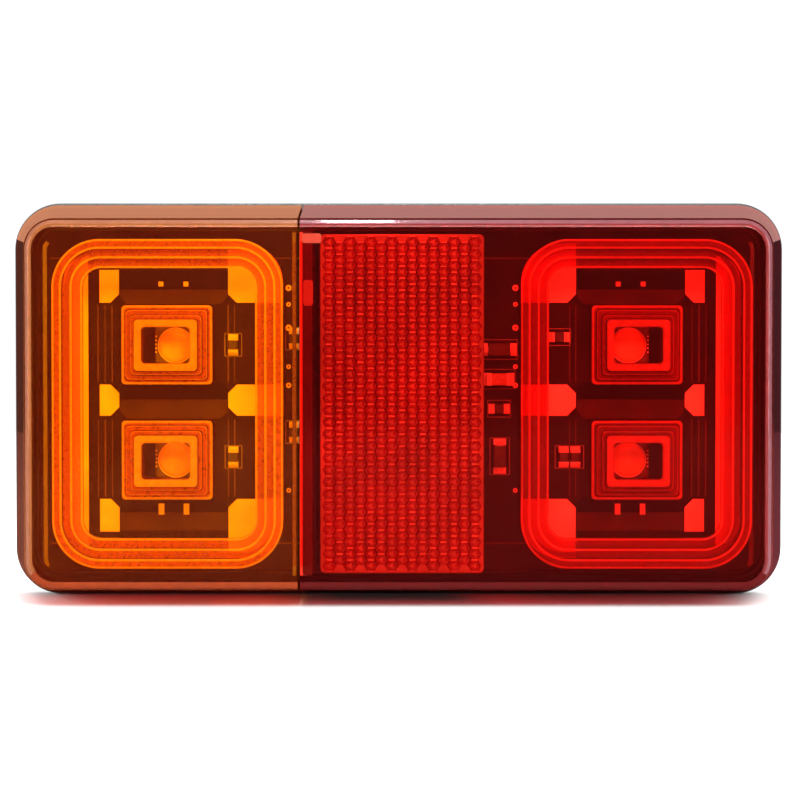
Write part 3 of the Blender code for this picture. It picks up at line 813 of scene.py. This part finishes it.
def make_led(label, where):
    """An LED package: a dark body, a bright cup with a phosphor dome, and a row of fingers."""
    name = f"led_{label}_{where}"
    low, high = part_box(name)
    x, _, z = centre_of(name)
    size = (high[0] - low[0], high[2] - low[2])
    bm = bmesh.new()
    body = [
        (size, 0.3 * MM, high[1], 0),
        (size, 0.3 * MM, low[1] + 0.25 * MM, 0),
        (shrunk(size, 0.2 * MM), 0.3 * MM, low[1], 0),
    ]
    add_loft(bm, body, 4, (x, z))
    front = low[1]
    cup = [(2.3, 0.02), (2.3, -0.1), (2.24, -0.14), (2.16, -0.1), (2.16, 0.02)]
    side = 1 if label == "red" else -1
    middle = (x - side * 0.15 * MM, z - 0.15 * MM)
    add_turned(bm, [(r * MM, front + y * MM) for r, y in cup], middle, slot=1)
    dome = [(0, -DOME_RISE)]
    for angle in range(15, 91, 15):
        turn = math.radians(angle)
        dome.append((DOME_RADIUS * math.sin(turn), -DOME_RISE * math.cos(turn)))
    dome += [(DOME_RADIUS, 0.02), (0, 0.02)]
    add_turned(bm, [(r * MM, front + y * MM) for r, y in dome], middle, slot=2)
    for finger in range(FINGERS):
        at = z + (finger - 2) * 0.5 * MM
        ends = sorted((x + side * 2.25 * MM, x + side * 2.45 * MM))
        near = (ends[0], front - 0.08 * MM, at - 0.1 * MM)
        add_box(bm, near, (ends[1], front + 0.02 * MM, at + 0.1 * MM), 1)
    mesh = mesh_from(bm, f"led_{label}_{where}_detail")
    finishes = ["led_package", "led_cup", "phosphor"]
    add_piece(f"led_{label}_{where}_detail", mesh, finishes, (name,))


# ---------------------------------------------------------------- circuit board


def clipped(low, high, clips):
    """(x, z) outline of a rectangle with some corners cut off. clips maps a corner, r or l and then
    t or b, to the size of its cut, and a large one is round."""
    points = []
    middles = {"rt": (-1, -1), "lt": (1, -1), "lb": (1, 1), "rb": (-1, 1)}
    places = {"rt": high, "lt": (low[0], high[1]), "lb": low, "rb": (high[0], low[1])}
    for quarter, (corner, place) in enumerate(places.items()):
        clip = clips.get(corner, 0)
        steps = 8 if clip > 2 * MM else 1 if clip else 0
        centre = [value + clip * turn for value, turn in zip(place, middles[corner])]
        for step in range(steps + 1):
            angle = math.radians(90 * (quarter + step / max(steps, 1)))
            across, up = math.cos(angle), math.sin(angle)
            points.append((centre[0] + clip * across, centre[1] + clip * up))
    return points


def make_board():
    """The board, and on it the tinned zones, dark patches of painted shade, traces, pads and plain
    outline marks.
    """
    low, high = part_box("circuit_board")
    front = low[1]
    size = (high[0] - low[0], high[2] - low[2])
    bm = bmesh.new()
    sections = [
        (size, BOARD_RADIUS, high[1], 0),
        (size, BOARD_RADIUS, front + 0.1 * MM, 0),
        (shrunk(size, 0.1 * MM), BOARD_RADIUS - 0.1 * MM, front, 0),
    ]
    add_loft(bm, sections)
    mesh = mesh_from(bm, "board_detail")
    add_piece("board_detail", mesh, ["board"], ("circuit_board",))
    for label, side in (("amber", -1), ("red", 1)):
        make_section_copper(label, side, front)
    make_traces(front)


def make_section_copper(label, side, front):
    """Tinned zones and near-black and dark grey patches of painted shade round one section's LEDs. side
    is towards the lamp's end, and the zones on the inner side run on under the collar, within its
    rounded corners. A long tinned strip under the collar's outer side is a painted highlight there."""
    x = centre_of(f"optic_ring_{label}")[0]
    ring_low, ring_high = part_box(f"optic_ring_{label}")
    half_ring = (ring_high[0] - ring_low[0]) / 2 - 0.4 * MM
    half_tall = (ring_high[2] - ring_low[2]) / 2 - 0.4 * MM
    outer, inner = ("r", "l") if side > 0 else ("l", "r")
    bm = bmesh.new()
    levels = [(ZONE_START, half_tall, "b"), (-1.9 * MM, 2.1 * MM, "bt"), (-half_tall, -ZONE_START, "t")]
    for low_z, high_z, near_ends in levels:
        near = {outer + end: ZONE_CLIP for end in near_ends}
        if len(near_ends) == 1:
            near[inner + ("t" if near_ends == "b" else "b")] = RING_CLIP
        ends = sorted((x - side * SHADE_PATCH_HALF, x - side * half_ring))
        outline_points = clipped((ends[0], low_z), (ends[1], high_z), near)
        add_plate(bm, outline_points, front, front - COPPER, bevel=0.02 * MM)
        near = {inner + end: ZONE_CLIP for end in near_ends}
        ends = sorted((x + side * SHADE_PATCH_HALF, x + side * (SHADE_PATCH_HALF + 2.5 * MM)))
        low_z, high_z = max(low_z, -ZONE_LIMIT), min(high_z, ZONE_LIMIT)
        outline_points = clipped((ends[0], low_z), (ends[1], high_z), near)
        add_plate(bm, outline_points, front, front - COPPER, bevel=0.02 * MM)
    # A tinned strip under the collar's outer side: a painted highlight that brightens that side.
    ends = sorted((x + side * (half_ring - STRIP_WIDTH), x + side * half_ring))
    near = {outer + "t": STRIP_CLIP, outer + "b": STRIP_CLIP}
    strip_end = half_tall - 1.6 * MM
    outline_points = clipped((ends[0], -strip_end), (ends[1], strip_end), near)
    add_plate(bm, outline_points, front, front - COPPER, bevel=0.02 * MM)
    add_piece(f"copper_{label}", mesh_from(bm, f"copper_{label}"), ["tin"])

    bm = bmesh.new()
    # Each pair is near-black above and dark grey below: painted shade under the optics and in the
    # collar's middle, darker at the top.
    for low_z, high_z, round_ends, slot in (
        (14.3, 16.7, "", 0),
        (12.4, 14.3, "b", 1),
        (0.2, 2.4, "t", 0),
        (-2.3, 0.2, "b", 1),
        (-14.3, -12.4, "t", 0),
        (-16.7, -14.3, "", 1),
    ):
        near = {side_letter + end: 0.9 * MM for side_letter in "lr" for end in round_ends}
        low_corner = (x - SHADE_PATCH_HALF + 0.1 * MM, low_z * MM)
        outline_points = clipped(low_corner, (x + SHADE_PATCH_HALF - 0.1 * MM, high_z * MM), near)
        add_plate(bm, outline_points, front, front - 1.5 * COPPER, slot, bevel=0.03 * MM)
    finishes = ["dark_shade_patch", "light_shade_patch"]
    add_piece(f"shade_patches_{label}", mesh_from(bm, f"shade_patches_{label}"), finishes)


def make_traces(front):
    """Fine copper runs, solder pads of the chip parts, plated holes and plain outline marks."""
    thick = 0.05 * MM
    bm = bmesh.new()
    draw = random.Random(7)
    for label, side in (("amber", -1), ("red", 1)):
        x = centre_of(f"optic_ring_{label}")[0]
        for low_z, high_z in ((2.4 * MM, 12.3 * MM), (-12.3 * MM, -2.4 * MM)):
            for offset in (9.7, 8.8, 7.9, -7, -7.8):
                at = x + side * offset * MM
                wide = draw.choice((0.04, 0.06, 0.08)) * MM
                add_box(bm, (at - wide, front - thick, low_z), (at + wide, front, high_z))
    low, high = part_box("circuit_board")
    for z in (-18.3 * MM, 18.3 * MM):
        near = (low[0] + 1.5 * MM, front - thick, z - 0.06 * MM)
        add_box(bm, near, (high[0] - 1.5 * MM, front, z + 0.06 * MM))
    add_piece("board_traces", mesh_from(bm, "board_traces"), ["trace"])

    pads = bmesh.new()
    marks = bmesh.new()
    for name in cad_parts:
        if not name.startswith(("resistor", "capacitor", "diode", "driver")):
            continue
        part_low, part_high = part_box(name)
        width, height = part_high[0] - part_low[0], part_high[2] - part_low[2]
        along = 0 if width > height else 2
        across = 2 - along
        for end in (-1, 1):
            pad_low = [0, front - 0.07 * MM, 0]
            pad_high = [0, front, 0]
            tip = part_high[along] if end > 0 else part_low[along]
            near, far = sorted((tip - end * 0.45 * MM, tip + end * 0.35 * MM))
            pad_low[along], pad_high[along] = near, far
            pad_low[across], pad_high[across] = part_low[across], part_high[across]
            add_box(pads, pad_low, pad_high)
        margin = 0.45 * MM
        line = 0.05 * MM
        left, right = part_low[0] - margin, part_high[0] + margin
        bottom, top = part_low[2] - margin, part_high[2] + margin
        for a, b in (
            ((left, bottom), (right, bottom)),
            ((left, top), (right, top)),
            ((left, bottom), (left, top)),
            ((right, bottom), (right, top)),
        ):
            low_corner = (a[0] - line, front - 0.03 * MM, a[1] - line)
            add_box(marks, low_corner, (b[0] + line, front, b[1] + line))
    for label, side in (("amber", -1), ("red", 1)):
        x = centre_of(f"optic_ring_{label}")[0]
        gap_x = x - side * 14.75 * MM
        for z, radius in ((14.5, 0.4), (12.4, 0.3), (9.4, 0.4), (4.4, 0.3), (2, 0.35), (-11.5, 0.3)):
            radius *= MM
            hole = 0.12 * MM
            face = front - 0.06 * MM
            profile = [(radius, front), (radius, face), (hole, face), (hole, front)]
            add_turned(pads, profile, (gap_x, z * MM), steps=16)
        for offset in (-1.6, 1.6):
            bar_x = x + offset * MM
            for half, low_z, high_z in ((0.35, -14.6, -13.2), (0.3, 14.7, 15.3)):
                near = (bar_x - half * MM, front - 0.2 * MM, low_z * MM)
                add_box(pads, near, (bar_x + half * MM, front, high_z * MM))
    add_piece("board_pads", mesh_from(pads, "board_pads"), ["tin"])
    add_piece("board_marks", mesh_from(marks, "board_marks"), ["mark"])


def finish_chip_parts():
    """Gives the chip parts, which keep their CAD shape, their own finishes."""
    for name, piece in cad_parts.items():
        low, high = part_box(name)
        axis = "X" if high[0] - low[0] > high[2] - low[2] else "Z"
        if name.startswith("resistor"):
            finish = banded_material(name, (0.03, 0.03, 0.035), (0.8, 0.79, 0.76), axis, 0.2)
        elif name.startswith("capacitor"):
            finish = banded_material(name, (0.42, 0.27, 0.15), (0.8, 0.79, 0.76), axis, 0.2)
        elif name.startswith("diode"):
            finish = banded_material(name, (0.03, 0.03, 0.03), (0.75, 0.74, 0.72), axis, 0.13)
        elif name.startswith("driver"):
            finish = banded_material(name, (0.03, 0.03, 0.03), (0.75, 0.74, 0.72), "Z", 0.17)
        elif name.startswith("board_screw"):
            finish = FINISH["zinc"]
        elif name == "reflector_back_cover":
            finish = FINISH["cover"]
        else:
            continue
        piece.data.materials.clear()
        piece.data.materials.append(finish)


# ---------------------------------------------------------------- back


def make_base():
    """The base with rounded edges, its tray wall, holes, pin marks, stud collars and posts."""
    low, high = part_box("base_housing")
    size = (high[0] - low[0], high[2] - low[2])
    floor = high[1] - BASE_THICK
    bm = bmesh.new()
    sections = []
    steps = 5
    for step in range(steps + 1):
        angle = math.radians(90 * step / steps)
        inset = BASE_FILLET * (1 - math.sin(angle))
        y = high[1] - BASE_FILLET * (1 - math.cos(angle))
        sections.append((shrunk(size, inset), BASE_RADIUS - inset, y, 0))
    sections.append((size, BASE_RADIUS, floor + 0.2 * MM, 0))
    sections.append((shrunk(size, 0.2 * MM), BASE_RADIUS - 0.2 * MM, floor, 0))
    inside = shrunk(TRAY_SIZE, TRAY_WALL)
    for y in (floor, TRAY_FRONT):
        sections.append((TRAY_SIZE, TRAY_RADIUS, y, 0))
    for y in (TRAY_FRONT, floor):
        sections.append((inside, TRAY_RADIUS - TRAY_WALL, y, 0))
    add_loft(bm, sections)
    mesh = mesh_from(bm, "base_shell")
    base = add_piece("base_shell", mesh, ["black_plastic"], ("base_housing",))

    cuts = []
    gland = centre_of("cable_gland")
    for name in ("stud_left", "stud_right"):
        x, _, z = centre_of(name)
        hole = bmesh.new()
        profile = [(0, 1), (2.8, 1), (2.8, -5), (0, -5)]
        add_turned(hole, [(r * MM, y * MM) for r, y in profile], (x, z))
        cuts.append(mesh_from(hole, "hole"))
    hole = bmesh.new()
    profile = [(0, 1), (6.8, 1), (6.8, -1.5), (5.5, -1.5), (5.5, -5), (0, -5)]
    add_turned(hole, [(r * MM, y * MM) for r, y in profile], (gland[0], gland[2]))
    cuts.append(mesh_from(hole, "hole"))
    for x in (-44, 44):
        for z in (-19, 19):
            pin = bmesh.new()
            profile = [(0, 1), (2, 1), (2, -0.12), (1.85, -0.2), (0, -0.2)]
            add_turned(pin, [(r * MM, y * MM) for r, y in profile], (x * MM, z * MM))
            cuts.append(mesh_from(pin, "pin"))
    apply_cuts(base, "DIFFERENCE", cuts)

    bm = bmesh.new()
    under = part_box("circuit_board")[1][1]
    for name in ("stud_left", "stud_right"):
        x, _, z = centre_of(name)
        profile = [(7, -3.4), (7, -7.3), (6.8, -7.5), (5.1, -7.5), (4.9, -7.3), (4.9, -3.4)]
        add_turned(bm, [(r * MM, y * MM) for r, y in profile], (x, z))
    for x, z in ((-41, -17), (-41, 17), (41, -17), (41, 17), (-7, 17), (7, -17)):
        tip = under + 0.3 * MM
        profile = [(0, -3.4 * MM), (2.6 * MM, -3.4 * MM), (2.4 * MM, tip), (0, tip)]
        add_turned(bm, profile, (x * MM, z * MM), steps=32)
    add_piece("base_posts", mesh_from(bm, "base_posts"), ["black_plastic"])


def make_seal():
    """The gasket between the base and the lens rim."""
    low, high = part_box("lens_seal")
    size = (high[0] - low[0], high[2] - low[2])
    bm = bmesh.new()
    middle = (low[1] + high[1]) / 2
    half = (high[1] - low[1]) / 2
    sections = []
    for inset, y in ((0.25, 1), (0, 0), (0.25, -1), (1.85, -1), (2.1, 0), (1.85, 1)):
        sections.append((shrunk(size, inset * MM), (5.4 - inset) * MM, middle + y * half, 0))
    add_loft(bm, sections, ring=True)
    add_piece("seal_ring", mesh_from(bm, "seal_ring"), ["rubber"], ("lens_seal",))


def make_gland():
    """The rubber gland: flanges either side of the base and a ribbed, tapered nozzle."""
    _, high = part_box("cable_gland")
    x, _, z = centre_of("cable_gland")
    bore, end = 3.5, high[1] / MM
    profile = [(bore + 0.5, end), (bore + 0.9, end - 0.3)]
    for rib in range(4):
        top = end - 0.9 - 1.9 * rib
        radius = 4.5 + 0.17 * rib
        valley = radius - 0.35
        profile += [(radius, top), (radius, top - 0.7), (valley, top - 0.9), (valley, top - 1.6)]
    profile += [(5.2, 0.4), (6.2, 0), (6.5, -0.25), (6.5, -1.2), (5.2, -1.2), (5.2, -3.8)]
    profile += [(6.5, -3.8), (6.5, -4.7), (6.2, -5), (bore + 0.3, -5), (bore, -4.7), (bore, end - 0.3)]
    bm = bmesh.new()
    add_turned(bm, [(r * MM, y * MM) for r, y in profile], (x, z), steps=64)
    mesh = mesh_from(bm, "gland_ribbed")
    add_piece("gland_ribbed", mesh, ["rubber"], ("cable_gland",))


def add_thread(bm, centre, y_start, y_end):
    """Adds a stud's threaded side: its radius follows the thread's V round and along the axis, and
    the thread fades out at both ends. Returns its end loops."""
    around = 36
    rows = int(abs(y_end - y_start) / THREAD_PITCH * 8)
    loops = []
    for row in range(rows + 1):
        y = y_start + (y_end - y_start) * row / rows
        fade = min(1.0, row / 6, (rows - row) / 6)
        radii = []
        for step in range(around):
            phase = (y / THREAD_PITCH - step / around) % 1
            radii.append(STUD_RADIUS - THREAD_DEPTH * fade * (1 - abs(2 * phase - 1)))
        loops.append(add_circle(bm, centre, y, radii))
    for first, second in zip(loops, loops[1:]):
        bridge(bm, first, second)
    return loops[0], loops[-1]


def make_fasteners():
    """Studs with threads and hexagonal heads, chamfered nuts and washers."""
    for label in ("left", "right"):
        low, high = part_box(f"stud_{label}")
        x, _, z = centre_of(f"stud_{label}")
        bm = bmesh.new()
        start, end = add_thread(bm, (x, z), HEAD_BACK + 0.1 * MM, high[1] - 0.7 * MM)
        tip = []
        for vert in end:
            away = Vector((vert.co.x - x, 0, vert.co.z - z)).normalized()
            tip.append(bm.verts.new((x + away.x * STUD_TIP, high[1], z + away.z * STUD_TIP)))
        bridge(bm, end, tip)
        bm.faces.new(tip)
        bm.faces.new(start)
        add_hexagon(bm, (x, z), low[1], HEAD_BACK)
        mesh = mesh_from(bm, f"stud_{label}_threaded")
        add_piece(f"stud_{label}_threaded", mesh, ["zinc"], (f"stud_{label}",))

        low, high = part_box(f"nut_{label}")
        bm = bmesh.new()
        add_hexagon(bm, (x, z), low[1], high[1], NUT_BORE)
        mesh = mesh_from(bm, f"nut_{label}_hex")
        add_piece(f"nut_{label}_hex", mesh, ["zinc"], (f"nut_{label}",))

        low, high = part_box(f"washer_{label}")
        near, far = low[1] / MM, high[1] / MM
        profile = [(4.85, near), (5, near + 0.15), (5, far - 0.15), (4.85, far)]
        profile += [(2.9, far), (2.8, far - 0.1), (2.8, near + 0.1), (2.9, near)]
        bm = bmesh.new()
        add_turned(bm, [(r * MM, y * MM) for r, y in profile], (x, z), steps=64)
        mesh = mesh_from(bm, f"washer_{label}_flat")
        add_piece(f"washer_{label}_flat", mesh, ["zinc"], (f"washer_{label}",))


def add_hexagon(bm, centre, y_low, y_high, bore=0.0):
    """Adds a hexagonal prism whose corners are turned off at both ends, solid or with a bore."""
    around = 72
    apothem = HEX_FLATS / 2
    height = y_high - y_low
    rows = []
    for share in (0, 0.03, 0.08, 0.14, 0.86, 0.92, 0.97, 1):
        near_end = min(share, 1 - share)
        limit = apothem * (1.0 + 0.155 * min(1.0, near_end / 0.12))
        limit -= 0.04 * apothem if near_end == 0 else 0
        rows.append((y_low + share * height, limit))
    loops = []
    for y, limit in rows:
        radii = []
        for step in range(around):
            angle = 2 * math.pi * step / around
            within = (angle + math.pi / 6) % (math.pi / 3) - math.pi / 6
            radii.append(min(apothem / math.cos(math.pi / 6 - abs(within)), limit))
        loops.append(add_circle(bm, centre, y, radii))
    if bore:
        lead = 0.3 * MM
        ends = ((y_high, bore + lead), (y_high - lead, bore), (y_low + lead, bore), (y_low, bore + lead))
        for y, radius in ends:
            loops.append(add_circle(bm, centre, y, [radius] * around))
        loops.append(loops[0])
    else:
        bm.faces.new(loops[0])
        bm.faces.new(list(reversed(loops[-1])))
    for first, second in zip(loops, loops[1:]):
        bridge(bm, first, second)


# ---------------------------------------------------------------- stage


def aim(obj, target):
    direction = Vector(target) - obj.location
    obj.rotation_euler = direction.to_track_quat("-Z", "Y").to_euler()


def add_area_light(name, place, target, size, power):
    light = bpy.data.lights.new(name, "AREA")
    light.shape = "RECTANGLE"
    light.size, light.size_y = size
    light.energy = power
    obj = bpy.data.objects.new(name, light)
    bpy.context.scene.collection.objects.link(obj)
    obj.location = place
    aim(obj, target)
    return obj


def make_stage():
    """A pale floor, a soft studio and the camera."""
    low, _ = cad_box
    bm = bmesh.new()
    bmesh.ops.create_grid(bm, x_segments=4, y_segments=4, size=0.45)
    floor = bpy.data.objects.new("floor", mesh_from(bm, "floor"))
    bpy.context.scene.collection.objects.link(floor)
    floor.location.z = low[2] - 0.1 * MM
    made, tree = start_material("floor")
    tone = ramp(tree, noise(tree, 3, 3), (0.88, 0.88, 0.88), (0.92, 0.92, 0.92))
    shader = node(tree, "BsdfPrincipled", Base_Color=tone, Roughness=0.7)
    finish_material(tree, shader.outputs["BSDF"])
    floor.data.materials.append(made)

    world = bpy.data.worlds.new("studio")
    bpy.context.scene.world = world
    world.use_nodes = True
    tree = world.node_tree
    tree.nodes.clear()
    direction = node(tree, "TexCoord").outputs["Generated"]
    parts = node(tree, "SeparateXYZ", Vector=direction)
    # The studio is bright overhead and dim near the horizon, which the lens mirrors.
    height = node(tree, "MapRange", From_Min=0.2, From_Max=0.6, To_Min=0.7, To_Max=1.1)
    tree.links.new(parts.outputs["Z"], height.inputs["Value"])
    path = node(tree, "LightPath")
    strength = node(tree, "Mix", {"data_type": "FLOAT"})
    tree.links.new(path.outputs["Is Camera Ray"], strength.inputs[0])
    tree.links.new(height.outputs[0], strength.inputs[2])
    strength.inputs[3].default_value = 1.05
    background = node(tree, "Background", Color=(1, 1, 1, 1))
    tree.links.new(strength.outputs[0], background.inputs["Strength"])
    output = node(tree, "OutputWorld")
    tree.links.new(background.outputs[0], output.inputs["Surface"])

    middle = (0, -12 * MM, 0)
    add_area_light("key", (0.1, -0.85, 0.38), middle, (0.5, 0.25), 16)
    add_area_light("left", (-0.6, -0.4, 0.12), middle, (0.3, 0.4), 4)
    add_area_light("right", (0.6, -0.4, 0.12), middle, (0.3, 0.4), 4)
    add_area_light("glint", (-0.01, -0.1, 0.5), (-0.01, -0.1, 0), (0.022, 0.4), 2.2)

    camera = bpy.data.objects.new("camera", bpy.data.cameras.new("camera"))
    bpy.context.scene.collection.objects.link(camera)
    camera.data.lens = 145
    camera.data.clip_start = 0.01
    front = low[1]
    camera.location = (0.5 * MM, front - 0.4, 15 * MM)
    aim(camera, (0.2 * MM, front, 0.6 * MM))
    bpy.context.scene.camera = camera
    bpy.context.scene.view_settings.view_transform = "Standard"


FINISH = make_materials()
make_lens()
make_seam()
make_reflector()
for section in ("amber", "red"):
    make_ring(section)
    for place in ("upper", "lower"):
        make_block(section, place)
        make_led(section, place)
make_board()
finish_chip_parts()
make_base()
make_seal()
make_gland()
make_fasteners()
make_stage()
